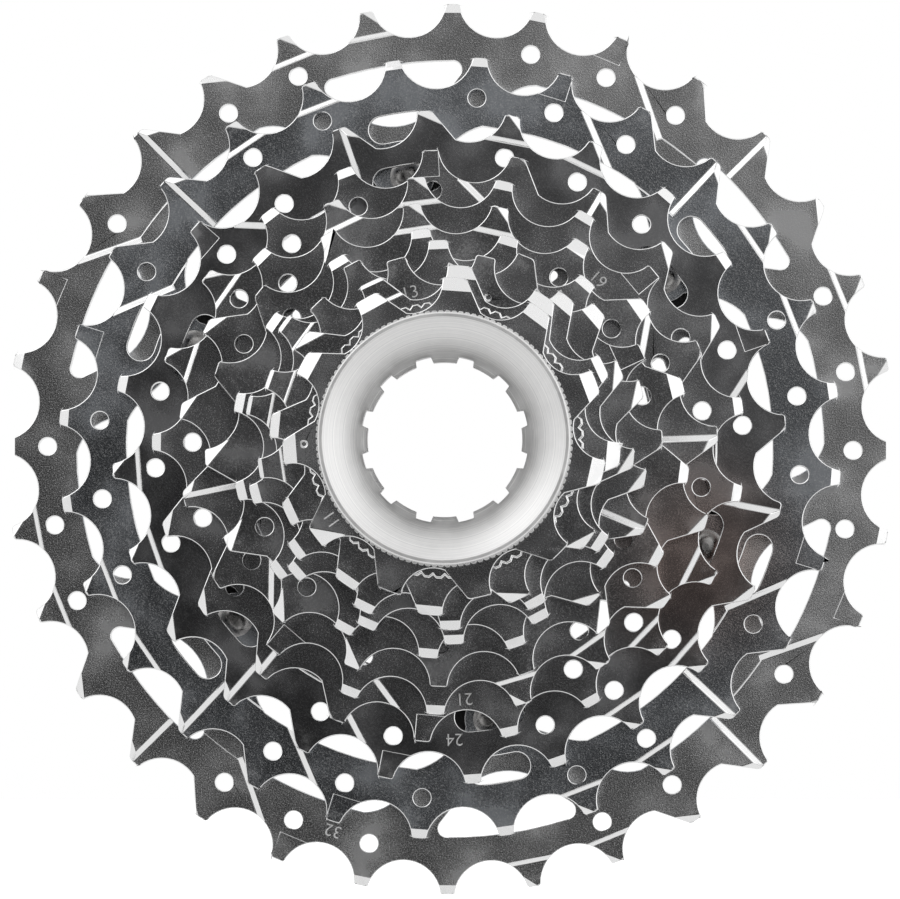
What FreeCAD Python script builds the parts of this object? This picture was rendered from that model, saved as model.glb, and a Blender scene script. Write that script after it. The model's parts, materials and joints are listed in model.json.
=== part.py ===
"""Eleven-speed bicycle cassette, 11 to 32 teeth, as a parametric FreeCAD document.

The cassette stands as it does on a wheel. Its axis is Y, the drive side faces -Y and Z is up. The origin is
on the axis, in the plane where the largest sprocket and its carrier seat against the hub. Angles are measured
clockwise from straight up, as seen from the drive side. All sizes are in millimetres and degrees.
"""
import FreeCAD, Part
import math
import os

import Sketcher

doc = FreeCAD.newDocument("Cassette")

# ---------------------------------------------------------------- driving sizes

SIZES = [
    # alias, value, meaning
    ("chain_pitch", 12.7, "distance between chain rollers"),
    ("sprocket_pitch", 3.74, "axial distance from one sprocket to the next"),
    ("plate", 1.6, "thickness of every sprocket plate"),
    ("slack", 0.02, "axial gap left between pieces that lift off"),
    ("root_drop", 4.0, "pitch circle down to the bottom of a tooth gap"),
    ("tip_rise", 0.65, "pitch circle up to a tooth tip"),
    ("tip_round", 0.45, "length of the rounding at each corner of a tooth tip"),
    ("hole_radius", 1.27, "lightening hole under a tooth"),
    ("bore_major", 17.3, "radius of the spline bore between its tabs"),
    ("bore_minor", 16.2, "radius of the spline bore at the tips of its tabs"),
    ("tab_width", 3.0, "width of a spline tab"),
    ("key_width", 1.9, "width of the one narrow spline tab"),
    ("tab_count", 9, "number of spline tabs"),
    ("ramp_depth", 0.6, "depth of a shift ramp in the plate"),
    ("ramp_wall", 42.0, "lean of a shift ramp's wall"),
    ("arm_count", 6, "arms and rivets of the carrier"),
    ("arm_angle", 51.3, "angle of the first carrier arm"),
    ("rivet_circle", 40.2, "radius of the circle of carrier rivets"),
    ("rivet_shank", 1.5, "radius of a carrier rivet's shank"),
    ("rivet_head", 2.6, "radius of a carrier rivet's head"),
    ("rivet_rise", 1.15, "height of a carrier rivet's front head"),
    ("rivet_back", 0.55, "height of a carrier rivet's back head"),
    ("ear_radius", 3.9, "radius of the ear round each carrier rivet"),
    ("ear_clearing", 38.8, "radius of the clearing inside the ears"),
    ("carrier_thick", 33.5, "radius out to which the carrier is as thick as its hub"),
    ("carrier_rim", 43.4, "radius of the ends of the carrier's arms"),
    ("window_inner", 27.3, "radius of the inner edge of the windows between the arms"),
    ("window_corner", 1.3, "corner radius of a window"),
    ("plate_arm", 9.0, "half the width of a plate's arm"),
    ("carrier_arm", 8.3, "half the width of a carrier arm"),
    ("carrier_arm_end", 5.4, "half the width of a carrier arm's end"),
    ("carrier_taper", 36.0, "radius where a carrier arm starts to taper"),
    ("pin_count", 3, "long pins through the cluster"),
    ("pin_angle", 30.0, "angle of the first long pin"),
    ("pin_circle", 23.2, "radius of the circle of long pins"),
    ("pin_shank", 1.1, "radius of a long pin"),
    ("pin_head", 1.9, "radius of a long pin's head"),
    ("pin_rise", 0.8, "height of a long pin's head"),
    ("cluster_spacer", 26.5, "outer radius of a spacer in the cluster"),
    ("loose_spacer", 20.3, "outer radius of a loose spacer"),
    ("spacer_bore", 17.5, "bore radius of a spacer"),
    ("boss_radius", 19.75, "outer radius of the serrated boss"),
    ("boss_serrations", 72, "teeth of the serrated boss"),
    ("notch_depth", 0.5, "depth of the boss's notches"),
    ("washer_bore", 16.2, "bore radius of the lockring washer"),
    ("washer_rim", 17.9, "outer radius of the lockring washer"),
    ("washer_thick", 0.5, "thickness of the lockring washer"),
    ("thread_radius", 15.3, "major radius of the lockring thread"),
    ("thread_length", 5.6, "length of the lockring thread"),
    ("flange_thick", 2.9, "thickness of the lockring flange"),
    ("flange_front", 17.85, "radius of the flange's front edge"),
    ("flange_radius", 18.05, "outer radius of the flange"),
    ("flange_lip", 0.45, "width of the flat lip round the dished face"),
    ("knurl_radius", 18.35, "radius of the flange's knurled band"),
    ("knurl_height", 0.8, "axial height of the knurled band"),
    ("knurl_depth", 0.3, "depth of the knurled band's notches"),
    ("knurl_teeth", 120, "serrations of the knurled band"),
    ("tool_major", 12.0, "radius of the tool spline between its lands"),
    ("tool_minor", 11.1, "radius of the tool spline on its lands"),
    ("tool_lands", 12, "number of lands for the lockring tool"),
    ("tool_depth", 4.6, "flange front to the front of the tool lands"),
    ("land_chamfer", 1.0, "axial length of the chamfer in front of a tool land"),
    ("thread_chamfer", 0.5, "chamfer at the thread's end"),
    ("punch_radius", 0.45, "radius of a punch mark"),
    ("punch_depth", 0.15, "depth of a punch mark"),
]

sheet = doc.addObject("Spreadsheet::Sheet", "Sizes")
for row, (alias, value, meaning) in enumerate(SIZES, start=1):
    sheet.set(f"A{row}", meaning)
    sheet.set(f"B{row}", str(value))
    sheet.setAlias(f"B{row}", alias)
doc.recompute()


def size(alias):
    return float(sheet.get(alias))


FRONT = size("plate")
MARGIN = 1.0  # how far a cutting outline runs past the material it cuts

# Each sprocket lists its teeth clockwise from the first. A letter gives the dressing of the tooth's front:
# N tip chamfer                 C tall tip chamfer          P plain
# L long facet on the right     V as L, with the end wall of a shift ramp down its middle
# F steep facet on the right    G steep facet on the left
# B as F, with a step across the foot                       M as N, with a step across the foot
# R recess on the left half     T low tooth
# A mark after the letter gives a flank that leans outward: < the left one, > the right one.
SPROCKETS = [
    # teeth, place in the stack, angle of the first tooth, gap radius, root down to the hole circle,
    # teeth, the teeth that stand over a hole
    (32, 0, 0.33, 5.5, 1.65,
     "N N R L> V> L> B B  T N R L> V> L> B B  N N R L> V> L> B B  T N R L> V> L> B B",
     [1, 2, 3, 6, 7, 8, 9, 11, 13, 14, 17, 18, 19, 22, 23, 24, 27, 29, 30]),
    (28, 1, 4.48, 5.45, 1.3, "N R L> V> B B N  N R L> V> B B N  N R L> V> B B N  N R L> V> B B N",
     [k + half for half in (0, 14) for k in (0, 1, 2, 5, 6, 7, 9, 11, 12)]),
    (24, 2, 10.9, 5.4, 1.65, "B B  N N R L> V> L> B B  N N R L> V> L> B B  N N R L> V> L>",
     [(k + start) % 24 for start in (2, 10, 18) for k in (0, 2, 3, 6, 7)]),
    (21, 3, 13.66, 5.35, 1.3, "L> V> L> L> N N B B  N N R L> V> L> L> N B B  N N R",
     [3, 4, 5, 7, 8, 13, 14, 15, 17, 18, 19, 20]),
    (19, 4, 12.15, 5.25, 1.5, "N N R L> V> L> L> B B  N N R L> V> L> L> N B B",
     [0, 3, 6, 7, 10, 12, 15, 16]),
    (17, 5, 12.65, 5.3, 1.5, "B C C< C< N< N< G< P P F F F< F< P< P< G B", [1, 2, 3, 5, 7, 8, 10, 11, 14]),
    (15, 6, 17.0, 5.2, 1.5, "N N R L> V> L> N N N N N N N N N", []),
    (14, 7, 23.45, 5.2, 1.5, "P> C> L> L> N N N N N N M M P N", []),
    (13, 8, 12.4, 5.15, 1.5, "P C> L> L> N N N N N M M P P", []),
    (12, 9, 5.2, 4.6, 1.5, "C> C> N> C> L> L> N> N> N> N> L> M>", []),
    (11, 10, 4.1, 4.6, 1.5, "C> C> C> C> P> P> P> G> C> C> C>", []),
]
LAST_LAYER = len(SPROCKETS) - 1
LARGEST_WITH_BORE = 24  # the two larger sprockets are riveted to the carrier instead
SMALLEST_WITH_PINS = 17  # the cluster ends here; smaller sprockets are loose
SMALLEST_WITH_LONG_RAMPS = 24
WITH_SERRATED_BOSS = 12  # its boss takes the place of the last spacer
NOTCH_SHARE = 0.85  # share of a serrated rim taken up by its notches
TOOL_SLOT_OUTER = 0.36  # half width of a slot between tool lands, as a share of half their spacing
TOOL_SLOT_INNER = 0.54  # the same on its inner side, where the lands narrow
PUNCH_MARKS = {13: (21.5, 16.5), 11: (20.1, 268.0)}  # radius and angle

# The opening between two arms: its turn from the middle of the two, half its width at the top, the radius of
# its top, and the points of its sides downward as (half angle, radius).
ARM_OPENINGS = {
    32: (0.0, 8.0, 54.8, [(13.5, 50.5), (21.5, 44.6), (23.6, 40.0), (24.5, 38.0)]),
    28: (-1.0, 14.5, 47.3, [(19.8, 44.6), (22.8, 43.0), (24.0, 40.0), (24.6, 37.5)]),
}
# The curved slot in each arm: half its length as an angle, inner radius and outer radius.
ARM_SLOTS = {28: (3.2, 45.6, 49.6), 24: (4.4, 37.5, 41.7)}
# Plate left between the windows of a sprocket and the tooth gaps of the next smaller one.
WINDOW_EDGES = {24: 0.0, 21: 0.9, 19: 0.9}

FOOT_TURN = 18.0  # turn round the gap, from its bottom, at which a leaning flank starts
LEAN = 0.945  # how far a leaning flank goes sideways for each millimetre outward
FLANK_ROUNDS = 6  # times the meeting point of flank and tip circle is worked out again

# The slopes of each dressing, from the middle of the tooth's root: where the slope starts (right, out), which
# way it falls (right, out), its width, drop and length, and whether it ends in a level floor.
TIP_CHAMFER = (0.0, 3.3, 0.0, 1.0, 1.35, 0.55, 4.2, False)
TALL_CHAMFER = (0.0, 2.7, 0.0, 1.0, 1.95, 0.75, 5.4, False)
LONG_FACET = (0.5, 3.45, 0.45, 0.89, 1.5, 0.9, 6.4, False)
RIGHT_FACET = (0.3, 2.95, 0.68, 0.73, 1.5, 0.9, 5.4, False)
LEFT_FACET = (-0.3, 2.95, -0.68, 0.73, 1.5, 0.9, 5.4, False)
LOW_STEP = (0.0, 0.55, 0.0, 1.0, 0.6, 0.42, 8.4, True)
HIGH_STEP = (0.0, 1.0, 0.0, 1.0, 0.35, 0.3, 8.4, True)
DRESSING = {
    "N": [TIP_CHAMFER],
    "C": [TALL_CHAMFER],
    "L": [LONG_FACET],
    "V": [LONG_FACET],
    "F": [RIGHT_FACET],
    "G": [LEFT_FACET],
    "B": [RIGHT_FACET, LOW_STEP],
    "M": [TIP_CHAMFER, HIGH_STEP],
}
# Boxes cut from a tooth: left, low, right and high edges, from the middle of its root.
RECESS_BOX = (-3.6, 0.8, 1.0, 6.2)
LOW_TOOTH_BOX = (-4.0, 3.2, 4.0, 6.2)

# A shift ramp starts in a tooth gap. Its places are counted in tooth pitches from the recessed tooth.
RAMP_ENTRY = 0.37
RAMP_LOW = 1.02
RAMP_END = 2.0
RAMP_ENTRY_RISE = 0.7
RAMP_FALL_LONG = 5.6  # depth below the root circle, on the large sprockets
RAMP_FALL_SHORT = 4.6
RAMP_WALL_RUN = 0.75
LEVEL_REACH = 4.0  # how far outward a slope's cutter goes when it ends in a level floor
SLOPE_REACH = 6.0  # how far it goes when it keeps falling


def pitch_radius(teeth):
    return size("chain_pitch") / (2 * math.sin(math.pi / teeth))


def root_radius(teeth):
    return pitch_radius(teeth) - size("root_drop")


def tip_radius(teeth):
    return pitch_radius(teeth) + size("tip_rise")


# ---------------------------------------------------------------- sketch helpers

def polar(radius, angle, lift=0.0):
    turn = math.radians(angle)
    return FreeCAD.Vector(radius * math.sin(turn), radius * math.cos(turn), lift)


def around(radius, angle, right, out):
    """A point given from the spot (radius, angle): `right` along the rim and `out` from the centre."""
    turn = math.radians(angle)
    radial = FreeCAD.Vector(math.sin(turn), math.cos(turn), 0)
    rim = FreeCAD.Vector(math.cos(turn), -math.sin(turn), 0)
    return radial * (radius + out) + rim * right


def new_body(name, layer=0):
    body = doc.addObject("PartDesign::Body", name)
    body.Label = name
    body.setExpression("Placement.Base.y", f"-{layer} * Sizes.sprocket_pitch")
    return body


def origin_feature(body, role):
    return [item for item in body.Origin.OriginFeatures if item.Role == role][0]


def face_sketch(body, name, height="0"):
    """A sketch seen from the drive side, `height` in front of the body's back plane."""
    sketch = body.newObject("Sketcher::SketchObject", name)
    sketch.AttachmentSupport = [(origin_feature(body, "XZ_Plane"), "")]
    sketch.MapMode = "FlatFace"
    sketch.setExpression("AttachmentOffset.Base.z", height)
    return sketch


def profile_sketch(body, name):
    """A sketch in the body's YZ plane, for turned shapes: its x is the body's y, its y is the radius."""
    sketch = body.newObject("Sketcher::SketchObject", name)
    sketch.AttachmentSupport = [(origin_feature(body, "YZ_Plane"), "")]
    sketch.MapMode = "FlatFace"
    return sketch


def add_circle(sketch, radius, centre=FreeCAD.Vector(0, 0, 0), bound_to=None):
    index = sketch.addGeometry(Part.Circle(centre, FreeCAD.Vector(0, 0, 1), radius))
    if bound_to:
        sketch.addConstraint(Sketcher.Constraint("Coincident", index, 3, -1, 1))
        rule = sketch.addConstraint(Sketcher.Constraint("Radius", index, radius))
        sketch.setExpression(f"Constraints[{rule}]", bound_to)
    return index


def add_outline(sketch, path):
    """Close a path. A point joins by a line; a pair (middle, end) joins by an arc through the middle."""
    here = path[0]
    for step in path[1:]:
        if isinstance(step, tuple):
            middle, end = step
            sketch.addGeometry(Part.Arc(here, middle, end))
        else:
            end = step
            sketch.addGeometry(Part.LineSegment(here, end))
        here = end
    if here.distanceToPoint(path[0]) > 1e-6:
        sketch.addGeometry(Part.LineSegment(here, path[0]))


def pad(body, name, sketch, length):
    feature = body.newObject("PartDesign::Pad", name)
    feature.Profile = sketch
    feature.setExpression("Length", length)
    return feature


def pocket(body, name, sketch, depth=None, lean=None):
    """Cut from the sketch towards the back: right through, or to a depth with leaning walls."""
    feature = body.newObject("PartDesign::Pocket", name)
    feature.Profile = sketch
    if depth is None:
        feature.Type = "ThroughAll"
    else:
        feature.setExpression("Length", depth)
    if lean:
        feature.setExpression("TaperAngle", lean)
    return feature


def round_pattern(body, name, originals, count):
    pattern = body.newObject("PartDesign::PolarPattern", name)
    pattern.Originals = originals
    pattern.Axis = (origin_feature(body, "Y_Axis"), [""])
    pattern.Angle = 360
    pattern.setExpression("Occurrences", count)
    body.Tip = pattern
    return pattern


def add_slope(cutters, point, outward, width, drop, length, level=False):
    """Add a wedge that cuts a slope along a straight line on the front face.

    The line passes through `point` at right angles to `outward`, and is `length` long. Going outward the
    surface falls by `drop` over `width`; beyond that it keeps falling, or stays level.
    """
    depth = drop if level else FRONT + MARGIN
    out = FreeCAD.Vector(outward.x, 0, outward.y).normalize()
    towards = FreeCAD.Vector(0, -1, 0)
    along = out.cross(towards)
    wedge = doc.addObject("Part::Wedge", f"slope_{len(doc.Objects)}")
    wedge.Ymin = -depth
    wedge.Xmin = width * depth / drop
    wedge.Xmax = max(LEVEL_REACH if level else SLOPE_REACH, wedge.Xmin.Value + MARGIN)
    wedge.Ymax = MARGIN
    wedge.X2min = -width * MARGIN / drop
    wedge.X2max = wedge.Xmax
    wedge.Zmin = wedge.Z2min = -length / 2
    wedge.Zmax = wedge.Z2max = length / 2
    wedge.Placement = FreeCAD.Placement(
        FreeCAD.Vector(point.x, -FRONT, point.y), FreeCAD.Rotation(out, towards, along, "XYZ"))
    cutters.append(wedge)


# ---------------------------------------------------------------- teeth

def gap_side(teeth, angle, gap, side, leans):
    """One side of a tooth gap; side is -1 on its left, 1 on its right.

    Returns the turn where the round bottom ends, and the points that follow it outward: the end of the flank,
    the middle of the tooth tip's rounding, its end on the tip circle, and a point clear outside that circle.
    """
    root = root_radius(teeth)
    tip = tip_radius(teeth)
    length = size("tip_round")
    foot = math.radians(FOOT_TURN)
    rise = tip - root
    for _ in range(FLANK_ROUNDS):
        if leans:
            run = gap * math.sin(foot) + LEAN * (rise - gap * (1 - math.cos(foot)))
        else:
            run = math.sqrt(gap ** 2 - (gap - rise) ** 2)
        rise = math.sqrt(tip ** 2 - run ** 2) - root
    corner = around(root, angle, side * run, rise)
    turn = foot if leans else math.acos(1 - rise / gap) - length / gap
    bottom_end = on_gap(root, angle, gap, side * turn)
    flank = (corner - bottom_end).normalize()
    flank_end = corner - flank * length if leans else bottom_end
    outward = FreeCAD.Vector(corner).normalize()
    sideways = FreeCAD.Vector(outward.y, -outward.x, 0) * side
    bulge = 0.5 / (1 + math.sqrt((1 + flank.dot(sideways)) / 2))
    rounding = corner + (sideways - flank) * length * bulge
    on_tip = corner + sideways * length
    return turn, flank_end, rounding, on_tip, on_tip + outward * 2 * MARGIN


def on_gap(root, angle, gap, turn):
    """A point on the round bottom of a gap, `turn` radians round it to the right of its lowest point."""
    return around(root, angle, gap * math.sin(turn), gap * (1 - math.cos(turn)))


def tooth_gap_path(teeth, angle, gap, left_leans, right_leans):
    """Outline of one tooth gap: a round bottom, upright or leaning flanks, and rounded tooth tips."""
    root = root_radius(teeth)
    left = gap_side(teeth, angle, gap, -1, left_leans)
    right = gap_side(teeth, angle, gap, 1, right_leans)
    left_turn, left_flank, left_round, left_tip, left_clear = left
    right_turn, right_flank, right_round, right_tip, right_clear = right
    path = [
        on_gap(root, angle, gap, -left_turn),
        (on_gap(root, angle, gap, (right_turn - left_turn) / 2), on_gap(root, angle, gap, right_turn)),
    ]
    if right_leans:
        path.append(right_flank)
    path += [(right_round, right_tip), right_clear, left_clear, left_tip, (left_round, left_flank)]
    return path


def cut_tooth_gaps(body, teeth, first, gap, kinds):
    pitch = 360.0 / teeth
    sketch = face_sketch(body, "tooth_gaps_shape", "Sizes.plate")
    for k, kind in enumerate(kinds):
        after = kinds[(k + 1) % teeth]
        path = tooth_gap_path(teeth, first + (k + 0.5) * pitch, gap, kind.endswith(">"), after.endswith("<"))
        add_outline(sketch, path)
    pocket(body, "tooth_gaps", sketch)


def add_facets(cutters, teeth, kind, angle):
    """Add the slopes that dress the front of one tooth."""
    turn = math.radians(angle)
    radial = FreeCAD.Vector(math.sin(turn), math.cos(turn), 0)
    rim = FreeCAD.Vector(math.cos(turn), -math.sin(turn), 0)
    for right, out, fall_right, fall_out, width, drop, length, level in DRESSING.get(kind[0], []):
        start = around(root_radius(teeth), angle, right, out)
        add_slope(cutters, start, rim * fall_right + radial * fall_out, width, drop, length, level)


def cut_tooth_pockets(body, name, teeth, angles, box, depth=None, lean=None):
    """Cut the same box from the front of several teeth: left, low, right and high edges from the root."""
    if not angles:
        return
    root = root_radius(teeth)
    left, low, right, high = box
    sketch = face_sketch(body, name + "_shape", "Sizes.plate")
    for angle in angles:
        add_outline(sketch, [
            around(root, angle, right, low),
            around(root, angle, left, low),
            around(root, angle, left, high),
            around(root, angle, right, high),
        ])
    pocket(body, name, sketch, depth, lean)


def cut_shift_ramps(body, cutters, teeth, starts):
    """Sink a ramp from the gap after each recessed tooth to the middle of the second tooth after it.

    A ramp has a flat floor, a leaning wall that climbs down from the gap, and a leaning end wall.
    """
    if not starts:
        return
    pitch = 360.0 / teeth
    root = root_radius(teeth)
    floor = root - (RAMP_FALL_LONG if teeth >= SMALLEST_WITH_LONG_RAMPS else RAMP_FALL_SHORT)
    top = tip_radius(teeth) + 2 * MARGIN
    depth = size("ramp_depth")
    sketch = face_sketch(body, "ramps_shape", "Sizes.plate")
    for start in starts:
        entry_angle = start + RAMP_ENTRY * pitch
        end = start + RAMP_END * pitch
        entry = polar(root + RAMP_ENTRY_RISE, entry_angle)
        low = polar(floor, start + RAMP_LOW * pitch)
        add_outline(sketch, [
            entry,
            low,
            (polar(floor, start + (RAMP_LOW + RAMP_END) / 2 * pitch), polar(floor, end)),
            polar(top, end),
            (polar(top, (entry_angle + end) / 2), polar(top, entry_angle)),
        ])
        slide = low - entry
        uphill = FreeCAD.Vector(-slide.y, slide.x, 0).normalize()
        add_slope(cutters, (entry + low) / 2 - uphill * RAMP_WALL_RUN, uphill, RAMP_WALL_RUN, depth,
                  slide.Length, level=True)
        turn = math.radians(end)
        forward = FreeCAD.Vector(math.cos(turn), -math.sin(turn), 0)
        middle = polar((floor + top) / 2, end)
        add_slope(cutters, middle + forward * RAMP_WALL_RUN, -forward, RAMP_WALL_RUN, depth,
                  top - floor, level=True)
    pocket(body, "ramps", sketch, "Sizes.ramp_depth")


def cut_holes(body, teeth, first, drop, over):
    if not over:
        return
    pitch = 360.0 / teeth
    circle = root_radius(teeth) - drop
    sketch = face_sketch(body, "lightening_holes_shape", "Sizes.plate")
    for k in over:
        add_circle(sketch, size("hole_radius"), polar(circle, first + k * pitch))
    pocket(body, "lightening_holes", sketch)


def cut_spline_bore(body, height="Sizes.plate"):
    """Cut the bore that slides on the hub's splines: nine tabs point inward, one of them narrow."""
    major = size("bore_major")
    minor = size("bore_minor")
    count = int(size("tab_count"))
    step = 360.0 / count
    half = [math.degrees(math.asin(size("key_width" if tab == 0 else "tab_width") / 2 / minor))
            for tab in range(count)]
    sketch = face_sketch(body, "spline_bore_shape", height)
    path = [polar(minor, -half[0])]
    for tab in range(count):
        angle = tab * step
        after = (tab + 1) % count
        arrive = angle + step - half[after]
        path.append((polar(minor, angle), polar(minor, angle + half[tab])))
        path.append(polar(major, angle + half[tab]))
        path.append((polar(major, (angle + half[tab] + arrive) / 2), polar(major, arrive)))
        path.append(polar(minor, arrive))
    add_outline(sketch, path)
    pocket(body, "spline_bore", sketch)


def make_plate(body, cutters, teeth, first, gap, hole_drop, kinds, over):
    sketch = face_sketch(body, "blank_shape")
    add_circle(sketch, tip_radius(teeth),
               bound_to=f"Sizes.chain_pitch / (2 * sin(180 deg / {teeth})) + Sizes.tip_rise")
    pad(body, "blank", sketch, "Sizes.plate")
    cut_tooth_gaps(body, teeth, first, gap, kinds)
    cut_holes(body, teeth, first, hole_drop, over)
    pitch = 360.0 / teeth
    recessed = [first + k * pitch for k, kind in enumerate(kinds) if kind[0] == "R"]
    low_teeth = [first + k * pitch for k, kind in enumerate(kinds) if kind[0] == "T"]
    cut_shift_ramps(body, cutters, teeth, recessed)
    cut_tooth_pockets(body, "recesses", teeth, recessed, RECESS_BOX, "Sizes.ramp_depth", "Sizes.ramp_wall")
    cut_tooth_pockets(body, "low_teeth", teeth, low_teeth, LOW_TOOTH_BOX)
    for k, kind in enumerate(kinds):
        add_facets(cutters, teeth, kind, first + k * pitch)


# ---------------------------------------------------------------- openings of the large sprockets

def arm_opening(sketch, centre, half_top, top, sides):
    """One large opening between two arms, open at its foot. `sides` lists (half angle, radius) downward."""
    corner_turn = 1.9
    corner_drop = 0.7
    half_mid, mid = sides[0]
    half_low, low = sides[-1]
    path = [
        polar(top, centre - half_top),
        (polar(top, centre), polar(top, centre + half_top)),
        (polar(top - corner_drop, centre + half_top + corner_turn), polar(mid, centre + half_mid)),
    ]
    path += [polar(radius, centre + half) for half, radius in sides[1:]]
    path.append((polar(low - MARGIN, centre), polar(low, centre - half_low)))
    path += [polar(radius, centre - half) for half, radius in reversed(sides[:-1])]
    path.append((polar(top - corner_drop, centre - half_top - corner_turn), path[0]))
    add_outline(sketch, path)


def arm_side(centre, side, half_arm, radius):
    """The point at `radius` on the edge of the arm beside an opening, on its left (side -1) or right (1)."""
    half_pitch = 180.0 / size("arm_count")
    return polar(radius, centre + side * (half_pitch - math.degrees(math.asin(half_arm / radius))))


def arm_window(sketch, centre, outer):
    """A closed window between two arms, with round corners and sides that follow the arms."""
    inner = size("window_inner")
    corner = min(size("window_corner"), 0.4 * (outer - inner))
    arm = size("plate_arm")
    bulge = corner * (1 - math.sqrt(0.5))
    path = [arm_side(centre, -1, arm + corner, outer)]
    path.append((polar(outer, centre), arm_side(centre, 1, arm + corner, outer)))
    path.append((arm_side(centre, 1, arm + bulge, outer - bulge), arm_side(centre, 1, arm, outer - corner)))
    path.append(arm_side(centre, 1, arm, inner + corner))
    path.append((arm_side(centre, 1, arm + bulge, inner + bulge), arm_side(centre, 1, arm + corner, inner)))
    path.append((polar(inner, centre), arm_side(centre, -1, arm + corner, inner)))
    path.append((arm_side(centre, -1, arm + bulge, inner + bulge), arm_side(centre, -1, arm, inner + corner)))
    path.append(arm_side(centre, -1, arm, outer - corner))
    path.append((arm_side(centre, -1, arm + bulge, outer - bulge), path[0]))
    add_outline(sketch, path)


def carrier_bay(sketch, centre):
    """The space between two carrier arms, open at the rim."""
    inner = size("window_inner")
    corner = size("window_corner")
    arm = size("carrier_arm")
    end = size("carrier_arm_end")
    taper = size("carrier_taper")
    rim = size("carrier_rim")
    bulge = corner * (1 - math.sqrt(0.5))
    path = [arm_side(centre, -1, end, rim + MARGIN)]
    path.append((polar(rim + MARGIN, centre), arm_side(centre, 1, end, rim + MARGIN)))
    path.append(arm_side(centre, 1, end, rim))
    path.append(arm_side(centre, 1, arm, taper))
    path.append(arm_side(centre, 1, arm, inner + corner))
    path.append((arm_side(centre, 1, arm + bulge, inner + bulge), arm_side(centre, 1, arm + corner, inner)))
    path.append((polar(inner, centre), arm_side(centre, -1, arm + corner, inner)))
    path.append((arm_side(centre, -1, arm + bulge, inner + bulge), arm_side(centre, -1, arm, inner + corner)))
    path.append(arm_side(centre, -1, arm, taper))
    path.append(arm_side(centre, -1, end, rim))
    add_outline(sketch, path)


def curved_slot(sketch, centre, half, inner, outer):
    """A slot along the rim with round ends."""
    end = (outer - inner) / 2
    middle = (outer + inner) / 2
    past = math.degrees(end / middle)
    add_outline(sketch, [
        polar(outer, centre - half),
        (polar(outer, centre), polar(outer, centre + half)),
        (polar(middle, centre + half + past), polar(inner, centre + half)),
        (polar(inner, centre), polar(inner, centre - half)),
        (polar(middle, centre - half - past), polar(outer, centre - half)),
    ])


def cut_openings(body, name, draw, *measures):
    """Cut one opening drawn by `draw`, and repeat it once for each carrier arm."""
    sketch = face_sketch(body, name + "_shape", "Sizes.plate")
    draw(sketch, *measures)
    cut = pocket(body, name, sketch)
    round_pattern(body, name + "s", [cut], "Sizes.arm_count")


def rim_window(sketch, centre):
    """The window in the foot of an arm of the largest sprocket: wide at the top, round at the bottom."""
    top = 57.0
    half_top = 8.8
    shoulder = (10.3, 56.3)
    side = (10.2, 55.0)
    foot = (5.4, 49.6)
    bottom = 48.0
    add_outline(sketch, [
        polar(top, centre - half_top),
        (polar(top, centre), polar(top, centre + half_top)),
        (polar(shoulder[1], centre + shoulder[0]), polar(side[1], centre + side[0])),
        polar(foot[1], centre + foot[0]),
        (polar(bottom, centre), polar(foot[1], centre - foot[0])),
        polar(side[1], centre - side[0]),
        (polar(shoulder[1], centre - shoulder[0]), polar(top, centre - half_top)),
    ])


def add_ears(body):
    """Clear the middle of an armed sprocket and leave a round ear with a rivet hole on each arm."""
    clearing = face_sketch(body, "clearing_shape", "Sizes.plate")
    add_circle(clearing, size("ear_clearing"), bound_to="Sizes.ear_clearing")
    pocket(body, "clearing", clearing)
    spot = polar(size("rivet_circle"), size("arm_angle"))
    ear_shape = face_sketch(body, "ear_shape")
    add_circle(ear_shape, size("ear_radius"), spot)
    ear = pad(body, "ear", ear_shape, "Sizes.plate")
    round_pattern(body, "ears", [ear], "Sizes.arm_count")
    hole_shape = face_sketch(body, "rivet_hole_shape", "Sizes.plate")
    add_circle(hole_shape, size("rivet_shank"), spot)
    hole = pocket(body, "rivet_hole", hole_shape)
    round_pattern(body, "rivet_holes", [hole], "Sizes.arm_count")


def cut_pin_holes(body, height):
    shape = face_sketch(body, "pin_hole_shape", height)
    add_circle(shape, size("pin_shank"), polar(size("pin_circle"), size("pin_angle")))
    hole = pocket(body, "pin_hole", shape)
    round_pattern(body, "pin_holes", [hole], "Sizes.pin_count")


# ---------------------------------------------------------------- pieces

def cut_punch_mark(body, teeth):
    radius, angle = PUNCH_MARKS[teeth]
    shape = face_sketch(body, "punch_mark_shape", "Sizes.plate")
    add_circle(shape, size("punch_radius"), polar(radius, angle))
    pocket(body, "punch_mark", shape, "Sizes.punch_depth")


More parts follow.
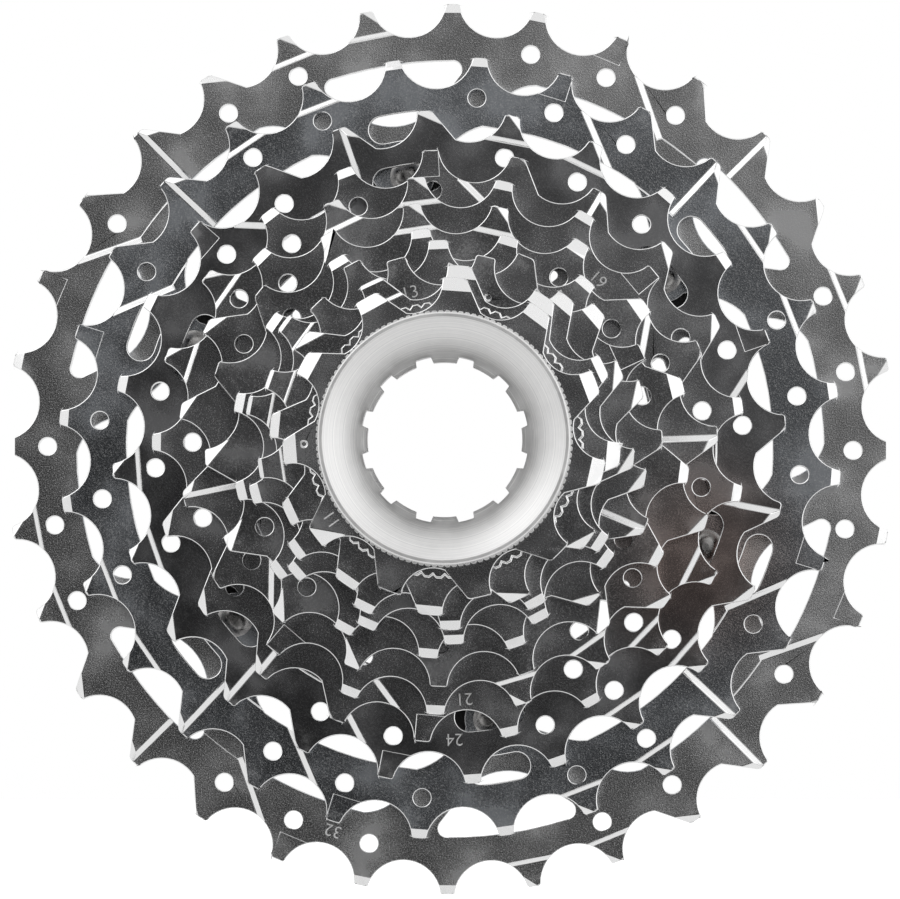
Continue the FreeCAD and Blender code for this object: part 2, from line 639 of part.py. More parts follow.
def make_sprocket(teeth, layer, first, gap, hole_drop, kinds, over):
    body = new_body(f"sprocket_{teeth}t_blank", layer)
    cutters = []
    make_plate(body, cutters, teeth, first, gap, hole_drop, kinds.split(), over)
    arm = size("arm_angle")
    between = arm - 180.0 / size("arm_count")
    if layer == 0:
        cut_openings(body, "rim_window", rim_window, arm)
    if teeth in ARM_SLOTS:
        half, inner, outer = ARM_SLOTS[teeth]
        cut_openings(body, "arm_slot", curved_slot, arm, half, inner, outer)
    if teeth in ARM_OPENINGS:
        turn, half_top, top, sides = ARM_OPENINGS[teeth]
        cut_openings(body, "arm_opening", arm_opening, between + turn, half_top, top, sides)
        add_ears(body)
    if teeth in WINDOW_EDGES:
        smaller = SPROCKETS[layer + 1][0]
        cut_openings(body, "arm_window", arm_window, between, root_radius(smaller) - WINDOW_EDGES[teeth])
    if teeth <= LARGEST_WITH_BORE:
        cut_spline_bore(body)
    if SMALLEST_WITH_PINS <= teeth <= LARGEST_WITH_BORE:
        cut_pin_holes(body, "Sizes.plate")
    if teeth in PUNCH_MARKS:
        cut_punch_mark(body, teeth)
    if teeth == WITH_SERRATED_BOSS:
        add_serrated_boss(body)
    slopes = doc.addObject("Part::Compound", f"sprocket_{teeth}t_slopes")
    slopes.Links = cutters
    slopes.setExpression("Placement.Base.y", f"-{layer} * Sizes.sprocket_pitch")
    sprocket = doc.addObject("Part::Cut", f"sprocket_{teeth}t")
    sprocket.Base = body
    sprocket.Tool = slopes
    return sprocket


def add_notch(sketch, rim, depth, count):
    """A V-shaped notch in a rim, one of `count`, with a narrow land left between neighbours."""
    clear = 0.2
    half = NOTCH_SHARE * 180.0 / count
    add_outline(sketch, [polar(rim - depth, 0), polar(rim + clear, half), polar(rim + clear, -half)])


def add_serrated_boss(body):
    """A raised ring with a serrated edge, which carries the smallest sprocket one step further out."""
    front = "Sizes.sprocket_pitch - Sizes.slack"
    ring_shape = face_sketch(body, "boss_shape", "Sizes.plate")
    add_circle(ring_shape, size("boss_radius"), bound_to="Sizes.boss_radius")
    add_circle(ring_shape, size("spacer_bore"), bound_to="Sizes.spacer_bore")
    height = "Sizes.sprocket_pitch - Sizes.slack - Sizes.plate"
    pad(body, "boss", ring_shape, height)
    notch_shape = face_sketch(body, "boss_notch_shape", front)
    add_notch(notch_shape, size("boss_radius"), size("notch_depth"), size("boss_serrations"))
    notch = pocket(body, "boss_notch", notch_shape, height)
    round_pattern(body, "boss_notches", [notch], "Sizes.boss_serrations")


def make_carrier():
    """The dark carrier: a splined hub with six arms, thinner between the riveted sprockets."""
    body = new_body("carrier_spider")
    hub_shape = face_sketch(body, "hub_shape")
    add_circle(hub_shape, size("carrier_thick"), bound_to="Sizes.carrier_thick")
    pad(body, "hub", hub_shape, "Sizes.sprocket_pitch + Sizes.plate")
    plate_shape = face_sketch(body, "plate_shape", "Sizes.plate")
    add_circle(plate_shape, size("carrier_rim"), bound_to="Sizes.carrier_rim")
    pad(body, "plate", plate_shape, "Sizes.sprocket_pitch - Sizes.plate")
    front = "Sizes.sprocket_pitch + Sizes.plate"
    bay_shape = face_sketch(body, "bay_shape", front)
    carrier_bay(bay_shape, size("arm_angle") - 180.0 / size("arm_count"))
    bay = pocket(body, "bay", bay_shape)
    round_pattern(body, "bays", [bay], "Sizes.arm_count")
    rivet_shape = face_sketch(body, "rivet_hole_shape", front)
    add_circle(rivet_shape, size("rivet_shank"), polar(size("rivet_circle"), size("arm_angle")))
    rivet_hole = pocket(body, "rivet_hole", rivet_shape)
    round_pattern(body, "rivet_holes", [rivet_hole], "Sizes.arm_count")
    cut_pin_holes(body, front)
    cut_spline_bore(body, front)
    return body


def make_spacer(name, layer, radius, loose):
    """A plain ring between the sprocket of one layer and the next."""
    body = new_body(name, layer)
    slack = " - 2 * Sizes.slack" if loose else ""
    start = "Sizes.plate + Sizes.slack" if loose else "Sizes.plate"
    shape = face_sketch(body, "ring_shape", start)
    add_circle(shape, size(radius), bound_to="Sizes." + radius)
    add_circle(shape, size("spacer_bore"), bound_to="Sizes.spacer_bore")
    pad(body, "ring", shape, "Sizes.sprocket_pitch - Sizes.plate" + slack)
    if not loose:
        cut_pin_holes(body, "Sizes.sprocket_pitch")
    return body


def turned_set(name, profile, radius, angle, count):
    """Equal turned pins parallel to the axis. The profile lists (y, radius) points with optional arcs."""
    body = new_body(name)
    shape = profile_sketch(body, "pin_profile")
    spot = polar(radius, angle)
    shape.AttachmentOffset = FreeCAD.Placement(FreeCAD.Vector(0, spot.y, spot.x), FreeCAD.Rotation())
    add_outline(shape, profile)
    pin = body.newObject("PartDesign::Revolution", "pin")
    pin.Profile = shape
    pin.ReferenceAxis = (shape, ["H_Axis"])
    pin.Angle = 360
    doc.recompute()
    round_pattern(body, "pins", [pin], count)
    return body


def make_carrier_rivets():
    """Rivets that hold the two largest sprockets on the carrier: flat domes behind, high domes in front."""
    shank = size("rivet_shank")
    head = size("rivet_head")
    front = -(size("sprocket_pitch") + size("plate"))
    rise = size("rivet_rise")
    back = size("rivet_back")
    return turned_set("carrier_rivets", [
        FreeCAD.Vector(back, 0, 0),
        FreeCAD.Vector(back, 0.25 * head, 0),
        (FreeCAD.Vector(0.7 * back, 0.65 * head, 0), FreeCAD.Vector(0, 0.9 * head, 0)),
        FreeCAD.Vector(0, shank, 0),
        FreeCAD.Vector(front, shank, 0),
        FreeCAD.Vector(front, head, 0),
        FreeCAD.Vector(front - 0.2 * rise, head, 0),
        (FreeCAD.Vector(front - 0.8 * rise, 0.6 * head, 0), FreeCAD.Vector(front - rise, 0.2 * head, 0)),
        FreeCAD.Vector(front - rise, 0, 0),
    ], size("rivet_circle"), size("arm_angle"), "Sizes.arm_count")


def make_cluster_pins():
    """Long pins that hold the carrier and the four sprockets in front of it together."""
    shank = size("pin_shank")
    head = size("pin_head")
    last = [entry[0] for entry in SPROCKETS].index(SMALLEST_WITH_PINS)
    front = -(last * size("sprocket_pitch") + size("plate"))
    rise = size("pin_rise")
    return turned_set("cluster_pins", [
        FreeCAD.Vector(0, 0, 0),
        FreeCAD.Vector(0, shank, 0),
        FreeCAD.Vector(front, shank, 0),
        FreeCAD.Vector(front, head, 0),
        (FreeCAD.Vector(front - 0.7 * rise, 0.7 * head, 0), FreeCAD.Vector(front - rise, 0.25 * head, 0)),
        FreeCAD.Vector(front - rise, 0, 0),
    ], size("pin_circle"), size("pin_angle"), "Sizes.pin_count")


def make_washer():
    body = new_body("lockring_washer", LAST_LAYER)
    shape = face_sketch(body, "washer_shape", "Sizes.plate + Sizes.slack")
    add_circle(shape, size("washer_rim"), bound_to="Sizes.washer_rim")
    add_circle(shape, size("washer_bore"), bound_to="Sizes.washer_bore")
    pad(body, "washer", shape, "Sizes.washer_thick")
    return body


def lockring_profile(body, back):
    """The turned outline of the lockring, from a knurled band at `back` to the neck and the dished face."""
    front = back - size("flange_thick")
    neck_end = back + size("thread_length")
    lands = front + size("tool_depth")
    thread = size("thread_radius")
    shoulder = back - size("knurl_height")
    edge = size("flange_radius") - size("flange_front")
    lip = size("flange_front") - size("flange_lip")
    dish = 0.3  # how far the dished face bows out of a straight cone
    shape = profile_sketch(body, "lockring_profile")
    add_outline(shape, [
        FreeCAD.Vector(front, size("flange_front"), 0),
        FreeCAD.Vector(front + edge, size("flange_radius"), 0),
        FreeCAD.Vector(shoulder, size("flange_radius"), 0),
        FreeCAD.Vector(shoulder, size("knurl_radius"), 0),
        FreeCAD.Vector(back, size("knurl_radius"), 0),
        FreeCAD.Vector(back, thread, 0),
        FreeCAD.Vector(neck_end - size("thread_chamfer"), thread, 0),
        FreeCAD.Vector(neck_end, thread - size("thread_chamfer"), 0),
        FreeCAD.Vector(neck_end, size("tool_minor"), 0),
        FreeCAD.Vector(lands + size("land_chamfer"), size("tool_minor"), 0),
        FreeCAD.Vector(lands, size("tool_major"), 0),
        (FreeCAD.Vector((front + lands) / 2 - dish, (lip + size("tool_major")) / 2 - dish, 0),
         FreeCAD.Vector(front, lip, 0)),
    ])
    return shape


def make_lockring():
    """The lockring: flange with a knurled band, dished face, threaded neck and splined bore for the tool."""
    body = new_body("lockring", LAST_LAYER)
    shape = lockring_profile(body, -(size("plate") + size("washer_thick") + 2 * size("slack")))
    ring = body.newObject("PartDesign::Revolution", "ring")
    ring.Profile = shape
    ring.ReferenceAxis = (shape, ["H_Axis"])
    ring.Angle = 360
    front_plane = "Sizes.plate + Sizes.washer_thick + 2 * Sizes.slack + Sizes.flange_thick"
    slot_shape = face_sketch(body, "tool_slot_shape", front_plane)
    slot_angle = 180.0 / size("tool_lands")
    half_outer = TOOL_SLOT_OUTER * slot_angle
    half_inner = TOOL_SLOT_INNER * slot_angle
    low = size("tool_minor") - MARGIN
    add_outline(slot_shape, [
        polar(low, slot_angle - half_inner),
        polar(size("tool_major"), slot_angle - half_outer),
        (polar(size("tool_major"), slot_angle), polar(size("tool_major"), slot_angle + half_outer)),
        polar(low, slot_angle + half_inner),
    ])
    slot = pocket(body, "tool_slot", slot_shape)
    round_pattern(body, "tool_slots", [slot], "Sizes.tool_lands")
    notch_shape = face_sketch(body, "knurl_notch_shape", front_plane)
    add_notch(notch_shape, size("knurl_radius"), size("knurl_depth"), size("knurl_teeth"))
    notch = pocket(body, "knurl_notch", notch_shape, "Sizes.flange_thick")
    round_pattern(body, "knurl", [notch], "Sizes.knurl_teeth")
    return body


# ---------------------------------------------------------------- the assembly

def make_spacers():
    """One spacer before each sprocket from the third on, save the last, which stands on the serrated boss."""
    teeth = [entry[0] for entry in SPROCKETS]
    spacers = []
    for layer in range(1, LAST_LAYER - 1):
        loose = teeth[layer + 1] < SMALLEST_WITH_PINS
        radius = "loose_spacer" if loose else "cluster_spacer"
        spacers.append(make_spacer(f"spacer_{teeth[layer]}_{teeth[layer + 1]}", layer, radius, loose))
    return spacers


pieces = [make_sprocket(*entry) for entry in SPROCKETS]
pieces.append(make_carrier())
pieces += make_spacers()
pieces.append(make_carrier_rivets())
pieces.append(make_cluster_pins())
pieces.append(make_washer())
pieces.append(make_lockring())
doc.recompute()

# ---------------------------------------------------------------- checks and files

failed = [item.Name for item in doc.Objects if "Invalid" in item.State or "Error" in item.State]
if failed:
    raise RuntimeError("failed features: " + ", ".join(failed))

os.makedirs("parts", exist_ok=True)
for piece in pieces:
    shape = piece.Shape
    if shape.isNull() or not shape.isValid():
        raise RuntimeError("bad shape: " + piece.Label)
    print(f"{piece.Label}: {len(shape.Solids)} solid(s), {shape.Volume:.1f} mm3")
    shape.exportStep(f"parts/{piece.Label}.step")
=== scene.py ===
"""The looks of the cassette: materials, softened edges, small details, floor, light and camera."""
import json
import math

import bpy
from mathutils import Matrix, Vector

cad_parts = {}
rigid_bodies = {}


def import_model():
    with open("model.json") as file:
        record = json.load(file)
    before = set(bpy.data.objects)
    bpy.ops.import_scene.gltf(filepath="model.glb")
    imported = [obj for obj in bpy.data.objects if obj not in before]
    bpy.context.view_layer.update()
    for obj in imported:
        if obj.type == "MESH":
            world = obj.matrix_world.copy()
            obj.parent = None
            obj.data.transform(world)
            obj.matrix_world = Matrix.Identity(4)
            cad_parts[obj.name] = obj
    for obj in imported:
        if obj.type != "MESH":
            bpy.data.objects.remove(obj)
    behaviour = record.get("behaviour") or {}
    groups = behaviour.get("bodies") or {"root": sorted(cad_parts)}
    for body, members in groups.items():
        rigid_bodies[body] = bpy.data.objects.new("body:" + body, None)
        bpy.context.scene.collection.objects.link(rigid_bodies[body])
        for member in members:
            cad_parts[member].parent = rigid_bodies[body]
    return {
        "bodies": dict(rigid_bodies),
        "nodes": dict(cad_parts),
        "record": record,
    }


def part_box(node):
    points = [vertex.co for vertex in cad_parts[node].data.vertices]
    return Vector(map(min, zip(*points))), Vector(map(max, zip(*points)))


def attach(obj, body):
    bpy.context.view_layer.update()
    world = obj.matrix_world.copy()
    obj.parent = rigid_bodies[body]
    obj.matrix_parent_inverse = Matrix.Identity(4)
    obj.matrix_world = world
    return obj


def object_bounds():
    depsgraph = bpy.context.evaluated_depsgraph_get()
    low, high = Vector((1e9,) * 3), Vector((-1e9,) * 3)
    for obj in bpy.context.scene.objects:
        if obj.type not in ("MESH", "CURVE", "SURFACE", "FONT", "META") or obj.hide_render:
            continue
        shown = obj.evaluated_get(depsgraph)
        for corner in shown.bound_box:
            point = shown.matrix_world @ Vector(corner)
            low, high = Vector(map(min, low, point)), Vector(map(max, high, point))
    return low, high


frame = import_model()
cad_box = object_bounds()

MM = 0.001
NODES = frame["nodes"]

# the sprockets' plate: base colour and depth of grain
PLAIN_TONE = (0.44, 0.44, 0.45)
PLAIN_GRAIN = 0.5
OWN_TONES = {  # the sprockets that differ
    "sprocket_32t": ((0.8, 0.8, 0.805), 1.0),
    "sprocket_28t": ((0.5, 0.525, 0.56), 0.7),
    "sprocket_24t": ((0.38, 0.38, 0.39), 0.25),
}
# polished metal colour, also used as a painted highlight on the sprockets' slopes and walls
POLISHED_AND_HIGHLIGHT = (0.93, 0.93, 0.93)
SPROCKET_ROUNDING = 0.13 * MM
SPACER_ROUNDING = 0.15 * MM
LOCKRING_ROUNDING = 0.05 * MM
SHARP_ANGLE = math.radians(28)

# the painted brown reflection: its middle, the distances where it starts and ends to fade, and its tint
REFLECTED_BROWN_PLACE = (36.0 * MM, -10.0 * MM, -16.5 * MM)
REFLECTED_BROWN_REACH = (4.0 * MM, 21.0 * MM)
REFLECTED_BROWN_TINT = (1.0, 0.81, 0.74)

# stamped tooth counts: (teeth, angle clockwise from the top in degrees, radius in mm)
STAMPS = [(32, 197.0, 58.6), (24, 178.9, 42.7), (21, 176.4, 36.9), (19, 42.3, 32.4), (13, 346.5, 21.9),
          (11, 234.6, 19.7)]
STAMP_HEIGHT = 1.8 * MM
STAMP_DEPTH = 0.015 * MM
STAMP_THINNING = 0.02 * MM
CAPITAL_SHARE = 0.7  # a figure's height as a share of the font's size

# what reflections see: a dark patch behind the camera, its brightness and slopes, and the studio round it
DARK_LEVEL = 0.065
DARK_SLOPE_RIGHT = 1.75
DARK_SLOPE_UP = 1.7
DARK_FLOOR = 0.02
DARK_CEILING = 0.6
PATCH_INNER = math.radians(23)
PATCH_OUTER = math.radians(40)
STUDIO_LEVEL = 0.84

FLOOR_HALF = 12.0
FLOOR_GLOW = 0.65
LIGHT_SIZE = 1.4

CAMERA_DISTANCE = 1.4
SEEN_WIDTH = 132.0 * MM
SENSOR_WIDTH = 36.0
CAMERA_PLACE = (30.0 * MM, -CAMERA_DISTANCE - 1.6 * MM, -50.0 * MM)
CAMERA_TARGET = (0.0, -1.6 * MM, -0.17 * MM)


# ---------------------------------------------------------------- material helpers

class Shader:
    """A node material under construction. Textures are placed in object space, in metres."""

    def __init__(self, name, metallic, roughness):
        self.material = bpy.data.materials.new(name)
        self.material.use_nodes = True
        self.tree = self.material.node_tree
        self.surface = self.tree.nodes["Principled BSDF"]
        self.surface.inputs["Metallic"].default_value = metallic
        self.surface.inputs["Roughness"].default_value = roughness
        self.place = self.tree.nodes.new("ShaderNodeTexCoord").outputs["Object"]

    def link(self, source, target):
        self.tree.links.new(source, target)

    def noise(self, size, detail=3.0, rough=0.6):
        """Noise whose features measure about `size` metres."""
        node = self.tree.nodes.new("ShaderNodeTexNoise")
        node.inputs["Scale"].default_value = 1.0 / size
        node.inputs["Detail"].default_value = detail
        node.inputs["Roughness"].default_value = rough
        self.link(self.place, node.inputs["Vector"])
        return node.outputs["Fac"]

    def ramp(self, source, stops):
        """Map a value through colour stops: (position, grey or (r, g, b))."""
        node = self.tree.nodes.new("ShaderNodeValToRGB")
        elements = node.color_ramp.elements
        while len(elements) < len(stops):
            elements.new(0.5)
        for element, (position, colour) in zip(elements, stops):
            if isinstance(colour, (int, float)):
                colour = (colour, colour, colour)
            element.position = position
            element.color = (*colour, 1.0)
        self.link(source, node.inputs["Fac"])
        return node.outputs["Color"]

    def math(self, kind, first, second):
        node = self.tree.nodes.new("ShaderNodeMath")
        node.operation = kind
        for slot, value in zip(node.inputs, (first, second)):
            if isinstance(value, (int, float)):
                slot.default_value = value
            else:
                self.link(value, slot)
        return node.outputs["Value"]

    def mix(self, factor, first, second, blend="MIX"):
        node = self.tree.nodes.new("ShaderNodeMix")
        node.data_type = "RGBA"
        node.blend_type = blend
        for name, value in (("Factor", factor), ("A", first), ("B", second)):
            slot = next(i for i in node.inputs if i.name == name and i.enabled)
            if isinstance(value, (int, float)):
                slot.default_value = value if name == "Factor" else (value, value, value, 1.0)
            elif isinstance(value, tuple):
                slot.default_value = (*value, 1.0)
            else:
                self.link(value, slot)
        return next(o for o in node.outputs if o.enabled)

    def near(self, point, reach):
        """1 within the first distance of a point, falling smoothly to 0 at the second."""
        gap = self.tree.nodes.new("ShaderNodeVectorMath")
        gap.operation = "DISTANCE"
        self.link(self.place, gap.inputs[0])
        gap.inputs[1].default_value = point
        return self.span(gap.outputs["Value"], (reach[1], reach[0]))

    def axis_rings(self, width):
        """Noise that changes only with the distance from the cassette's axis."""
        node = self.tree.nodes.new("ShaderNodeTexNoise")
        node.noise_dimensions = "1D"
        node.inputs["Scale"].default_value = 1.0 / width
        node.inputs["Detail"].default_value = 3.0
        self.link(self.axis_distance(), node.inputs["W"])
        return node.outputs["Fac"]

    def steepness(self):
        """0 on faces square to the axis, 1 on slopes and walls."""
        normal = self.tree.nodes.new("ShaderNodeNewGeometry").outputs["True Normal"]
        split = self.tree.nodes.new("ShaderNodeSeparateXYZ")
        self.link(normal, split.inputs["Vector"])
        return self.span(self.math("ABSOLUTE", split.outputs["Y"], 0.0), (0.995, 0.985))

    def rubbed_tips(self, tip_radius):
        """Patches that thicken over the last few millimetres before the tooth tips."""
        outward = self.span(self.axis_distance(), (tip_radius - 3.8 * MM, tip_radius - 0.3 * MM))
        patchy = self.span(self.noise(2.5 * MM, detail=2.0, rough=0.6), (0.45, 0.68))
        return self.math("MULTIPLY", self.math("MULTIPLY", outward, patchy), 0.3)

    def span(self, value, limits):
        """0 at the first limit, rising or falling smoothly to 1 at the second."""
        node = self.tree.nodes.new("ShaderNodeMapRange")
        node.interpolation_type = "SMOOTHSTEP"
        low, high = min(limits), max(limits)
        rising = limits[1] > limits[0]
        node.inputs["From Min"].default_value = low
        node.inputs["From Max"].default_value = high
        node.inputs["To Min"].default_value = 0.0 if rising else 1.0
        node.inputs["To Max"].default_value = 1.0 if rising else 0.0
        self.link(value, node.inputs["Value"])
        return node.outputs["Result"]

    def axis_distance(self):
        split = self.tree.nodes.new("ShaderNodeSeparateXYZ")
        self.link(self.place, split.inputs["Vector"])
        across = self.math("POWER", split.outputs["X"], 2.0)
        up = self.math("POWER", split.outputs["Z"], 2.0)
        return self.math("SQRT", self.math("ADD", across, up), 0.0)

    def colour(self, source):
        self.link(source, self.surface.inputs["Base Color"])

    def rough(self, source):
        self.link(source, self.surface.inputs["Roughness"])

    def bump(self, height, depth, strength=1.0):
        node = self.tree.nodes.new("ShaderNodeBump")
        node.inputs["Distance"].default_value = depth
        node.inputs["Strength"].default_value = strength
        self.link(height, node.inputs["Height"])
        self.link(node.outputs["Normal"], self.surface.inputs["Normal"])


def grained_chrome(name, tone, grain_depth, tip_radius):
    """Chrome plate over tumbled steel: dark and finely grained on the flat faces, smooth on the pressed
    slopes, with a painted highlight as a brighter colour on slopes and walls, rubbed towards the tooth tips,
    and a painted brown reflection in one place."""
    shader = Shader(name, 1.0, 0.3)
    grain = shader.noise(0.2 * MM, detail=2.0, rough=0.7)
    patches = shader.noise(9.0 * MM, detail=2.0, rough=0.5)
    slope = shader.steepness()
    rubbed = shader.rubbed_tips(tip_radius)
    dark, middle, light = [tuple(level * part for part in tone) for level in (0.62, 0.8, 1.0)]
    plate = shader.ramp(patches, [(0.36, dark), (0.5, middle), (0.64, light)])
    speck = shader.math("MULTIPLY", shader.span(grain, (0.44, 0.72)), 0.7 * grain_depth)
    # painted brown reflection on the flat faces round one place, kept off the slopes
    brown_reflection = shader.math("MULTIPLY", shader.near(REFLECTED_BROWN_PLACE, REFLECTED_BROWN_REACH),
                          shader.math("SUBTRACT", 1.0, slope))
    tint = shader.mix(brown_reflection, (1.0, 1.0, 1.0), REFLECTED_BROWN_TINT)
    face = shader.mix(1.0, shader.mix(speck, plate, POLISHED_AND_HIGHLIGHT), tint, "MULTIPLY")
    # painted highlight: slopes and walls take the bright colour because of the way they face; the tips take
    # it where rubbed
    highlight_and_rub = shader.math("MAXIMUM", slope, shader.math("MULTIPLY", rubbed, 0.8))
    shader.colour(shader.mix(highlight_and_rub, face, POLISHED_AND_HIGHLIGHT))
    flat_rough = shader.ramp(patches, [(0.4, 0.15), (0.52, 0.2), (0.68, 0.3)])
    grained_rough = shader.mix(speck, flat_rough, 0.45)
    shader.rough(shader.mix(rubbed, shader.mix(slope, grained_rough, 0.26), 0.5))
    shader.bump(grain, 0.02 * MM * grain_depth, 0.8)
    return shader.material


def chrome_edge():
    """Polished chrome on the rounded edges."""
    shader = Shader("polished_edge", 1.0, 0.2)
    wear = shader.noise(1.6 * MM)
    shader.colour(shader.ramp(wear, [(0.3, 0.86), (0.7, 1.0)]))
    shader.rough(shader.ramp(wear, [(0.3, 0.16), (0.7, 0.3)]))
    return shader.material


def turned_aluminium():
    """Satin aluminium with the fine rings a lathe tool leaves round the axis."""
    shader = Shader("turned_aluminium", 1.0, 0.45)
    rings = shader.axis_rings(0.16 * MM)
    wear = shader.noise(3.0 * MM)
    tone = shader.ramp(rings, [(0.32, (0.82, 0.82, 0.82)), (0.68, (0.98, 0.975, 0.965))])
    shader.colour(shader.mix(1.0, tone, shader.ramp(wear, [(0.3, 0.92), (0.7, 1.0)]), "MULTIPLY"))
    shader.rough(shader.ramp(wear, [(0.3, 0.42), (0.7, 0.52)]))
    shader.bump(rings, 0.012 * MM, 0.7)
    return shader.material


def black_anodised():
    shader = Shader("black_anodised", 1.0, 0.4)
    grain = shader.noise(0.4 * MM)
    shader.colour(shader.ramp(grain, [(0.3, 0.03), (0.7, 0.06)]))
    shader.rough(shader.ramp(grain, [(0.3, 0.35), (0.7, 0.55)]))
    shader.bump(grain, 0.01 * MM, 0.5)
    return shader.material


def black_plastic():
    shader = Shader("black_plastic", 0.0, 0.5)
    grain = shader.noise(0.5 * MM)
    shader.colour(shader.ramp(grain, [(0.3, 0.012), (0.7, 0.028)]))
    shader.rough(shader.ramp(grain, [(0.3, 0.42), (0.7, 0.6)]))
    shader.bump(grain, 0.02 * MM, 0.5)
    return shader.material


def bright_steel(name, tint):
    shader = Shader(name, 1.0, 0.25)
    wear = shader.noise(0.8 * MM)
    worn = tuple(0.75 * part for part in tint)
    shader.colour(shader.ramp(wear, [(0.3, worn), (0.7, tint)]))
    shader.rough(shader.ramp(wear, [(0.3, 0.18), (0.7, 0.35)]))
    shader.bump(shader.noise(0.2 * MM), 0.01 * MM, 0.5)
    return shader.material


def stamped_metal():
    """The roughened metal of a stamped figure."""
    shader = Shader("stamped_metal", 1.0, 0.4)
    wear = shader.noise(0.2 * MM)
    shader.colour(shader.ramp(wear, [(0.3, 0.65), (0.7, 0.95)]))
    shader.rough(shader.ramp(wear, [(0.3, 0.55), (0.7, 0.75)]))
    shader.bump(wear, 0.03 * MM, 1.0)
    return shader.material


MATERIALS = {
    "spacer_black": black_plastic(),
    "carrier_black": black_anodised(),
    "rivet_steel": bright_steel("rivet_steel", (0.5, 0.49, 0.48)),
    "washer_steel": bright_steel("washer_steel", (0.8, 0.79, 0.77)),
    "lockring_aluminium": turned_aluminium(),
}
EDGE = chrome_edge()
STAMP = stamped_metal()


# ---------------------------------------------------------------- the CAD pieces

def soften(piece, width, edge_material=None):
    """Join the mesh's split points, then round its sharp edges, in their own material if one is given."""
    weld = piece.modifiers.new("weld", "WELD")
    weld.merge_threshold = 0.001 * MM
    bevel = piece.modifiers.new("soft_edges", "BEVEL")
    bevel.width = width
    bevel.segments = 2
    bevel.limit_method = "ANGLE"
    bevel.angle_limit = SHARP_ANGLE
    bevel.use_clamp_overlap = False
    if edge_material:
        piece.data.materials.append(edge_material)
        bevel.material = len(piece.data.materials) - 1


def dress_cad():
    slots = {row["node"]: row["material_slot"] for row in frame["record"]["subparts"]}
    for name, piece in NODES.items():
        piece.data.materials.clear()
        if name.startswith("sprocket"):
            tone, grain_depth = OWN_TONES.get(name, (PLAIN_TONE, PLAIN_GRAIN))
            tip_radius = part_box(name)[1].z
            piece.data.materials.append(grained_chrome("chrome_" + name, tone, grain_depth, tip_radius))
            soften(piece, SPROCKET_ROUNDING, EDGE)
            continue
        piece.data.materials.append(MATERIALS[slots[name]])
        if name.startswith("spacer"):
            soften(piece, SPACER_ROUNDING)
        elif name == "lockring":
            soften(piece, LOCKRING_ROUNDING)


def body_of_node(node):
    """The body that carries a CAD node: its own, or the riveted cluster."""
    return node if node in frame["bodies"] else "cluster"


def stamp_count(teeth, clock_angle, radius):
    """The tooth count as small figures on a sprocket's front, their tops outward."""
    node = f"sprocket_{teeth}t"
    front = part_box(node)[0].y
    data = bpy.data.curves.new(f"stamp_{teeth}t", "FONT")
    data.body = str(teeth)
    data.size = STAMP_HEIGHT / CAPITAL_SHARE
    data.align_x = "CENTER"
    data.align_y = "CENTER"
    data.offset = -STAMP_THINNING
    data.extrude = STAMP_DEPTH
    text = bpy.data.objects.new(f"stamp_text_{teeth}t", data)
    mesh = bpy.data.meshes.new_from_object(text)
    stamp = bpy.data.objects.new(f"stamp_{teeth}t", mesh)
    bpy.data.objects.remove(text)
    turn = math.radians(clock_angle)
    upright = Matrix.Rotation(math.radians(90), 4, "X")
    about_axis = Matrix.Rotation(turn, 4, "Y")
    place = Matrix.Translation(Vector((radius * math.sin(turn), front, radius * math.cos(turn))))
    mesh.transform(place @ about_axis @ upright)
    mesh.materials.append(STAMP)
    bpy.context.scene.collection.objects.link(stamp)
    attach(stamp, body_of_node(node))


dress_cad()
for teeth, clock_angle, radius in STAMPS:
    stamp_count(teeth, clock_angle, radius * MM)


# ---------------------------------------------------------------- stage, light and camera

def make_floor():
    """A pale floor under the lowest tooth. Reflections pass it by, as if the part hung in the studio."""
    mesh = bpy.data.meshes.new("floor")
    low = cad_box[0].z
    corners = [(-FLOOR_HALF, -FLOOR_HALF, low), (FLOOR_HALF, -FLOOR_HALF, low),
               (FLOOR_HALF, FLOOR_HALF, low), (-FLOOR_HALF, FLOOR_HALF, low)]
    mesh.from_pydata(corners, [], [(0, 1, 2, 3)])
    floor = bpy.data.objects.new("floor", mesh)
    bpy.context.scene.collection.objects.link(floor)
    floor.visible_glossy = False
    shader = Shader("pale_floor", 0.0, 0.7)
    shader.colour(shader.ramp(shader.noise(0.5), [(0.3, 0.86), (0.7, 0.9)]))
    shader.surface.inputs["Emission Color"].default_value = (1.0, 1.0, 1.0, 1.0)
    shader.surface.inputs["Emission Strength"].default_value = FLOOR_GLOW
    mesh.materials.append(shader.material)


class World:
    """The studio round the part, as values worked out from the direction a ray leaves in."""

    def __init__(self):
        world = bpy.data.worlds.new("studio")
        bpy.context.scene.world = world
        world.use_nodes = True
        self.tree = world.node_tree
        self.background = self.tree.nodes["Background"]
        place = self.tree.nodes.new("ShaderNodeTexCoord")
        split = self.tree.nodes.new("ShaderNodeSeparateXYZ")
        self.tree.links.new(place.outputs["Generated"], split.inputs["Vector"])
        self.x, self.y, self.z = split.outputs

    def math(self, kind, *values):
        node = self.tree.nodes.new("ShaderNodeMath")
        node.operation = kind
        for slot, value in zip(node.inputs, values):
            if isinstance(value, (int, float)):
                slot.default_value = value
            else:
                self.tree.links.new(value, slot)
        return node.outputs["Value"]

    def span(self, value, low, high):
        """0 at the low value, rising smoothly to 1 at the high one."""
        node = self.tree.nodes.new("ShaderNodeMapRange")
        node.interpolation_type = "SMOOTHSTEP"
        node.inputs["From Min"].default_value = low
        node.inputs["From Max"].default_value = high
        self.tree.links.new(value, node.inputs["Value"])
        return node.outputs["Result"]


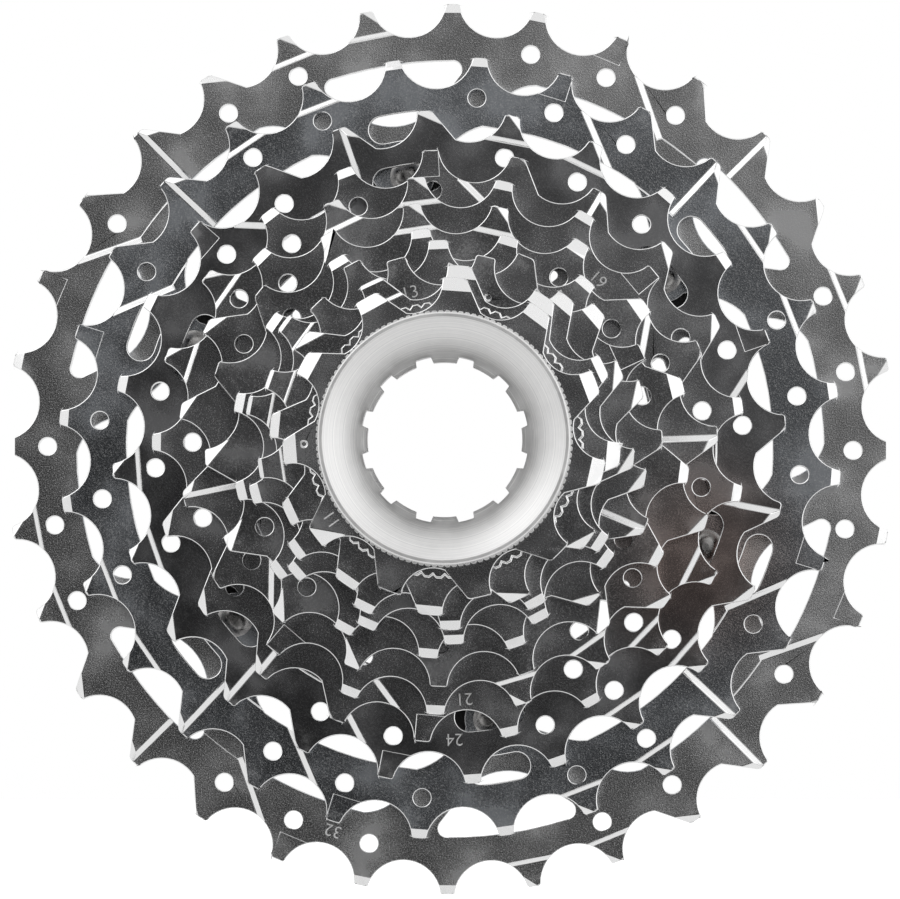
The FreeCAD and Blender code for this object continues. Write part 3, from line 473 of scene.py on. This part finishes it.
def make_world():
    """White for the camera. Reflections see a bright studio with a dark patch behind the camera, which grows
    lighter towards the right and the top."""
    world = World()
    sideways = world.math("MULTIPLY_ADD", world.x, DARK_SLOPE_RIGHT, DARK_LEVEL)
    lean = world.math("MULTIPLY_ADD", world.z, DARK_SLOPE_UP, sideways)
    patch = world.math("MINIMUM", world.math("MAXIMUM", lean, DARK_FLOOR), DARK_CEILING)
    away = world.span(world.math("MULTIPLY", world.y, -1.0), math.cos(PATCH_INNER),
                      math.cos(PATCH_OUTER))
    rest = world.math("MULTIPLY", patch, world.math("SUBTRACT", 1.0, away))
    seen = world.math("MULTIPLY_ADD", away, STUDIO_LEVEL, rest)
    path = world.tree.nodes.new("ShaderNodeLightPath")
    straight = path.outputs["Is Camera Ray"]
    others = world.math("MULTIPLY", seen, world.math("SUBTRACT", 1.0, straight))
    world.tree.links.new(world.math("ADD", others, straight), world.background.inputs["Strength"])
    world.background.inputs["Color"].default_value = (1.0, 1.0, 1.0, 1.0)


def make_light(name, place, power):
    """A round soft light aimed at the origin."""
    data = bpy.data.lights.new(name, "AREA")
    data.shape = "DISK"
    data.size = LIGHT_SIZE
    data.energy = power
    light = bpy.data.objects.new(name, data)
    light.location = place
    light.rotation_mode = "QUATERNION"
    light.rotation_quaternion = (-Vector(place)).to_track_quat("-Z", "Y")
    bpy.context.scene.collection.objects.link(light)


def make_camera():
    """A long lens square on to the sprockets, a little below and to the right of the axis."""
    data = bpy.data.cameras.new("camera")
    camera = bpy.data.objects.new("camera", data)
    bpy.context.scene.collection.objects.link(camera)
    target = Vector(CAMERA_TARGET)
    camera.location = CAMERA_PLACE
    camera.rotation_mode = "QUATERNION"
    camera.rotation_quaternion = (target - camera.location).to_track_quat("-Z", "Y")
    data.sensor_width = SENSOR_WIDTH
    data.lens = SENSOR_WIDTH * CAMERA_DISTANCE / SEEN_WIDTH
    bpy.context.scene.camera = camera


make_floor()
make_world()
make_light("key_light", (-0.9, -0.7, 0.9), 3.0)
make_light("fill_light", (1.0, -0.6, 0.3), 2.0)
make_camera()

bpy.context.scene.view_settings.view_transform = "Standard"
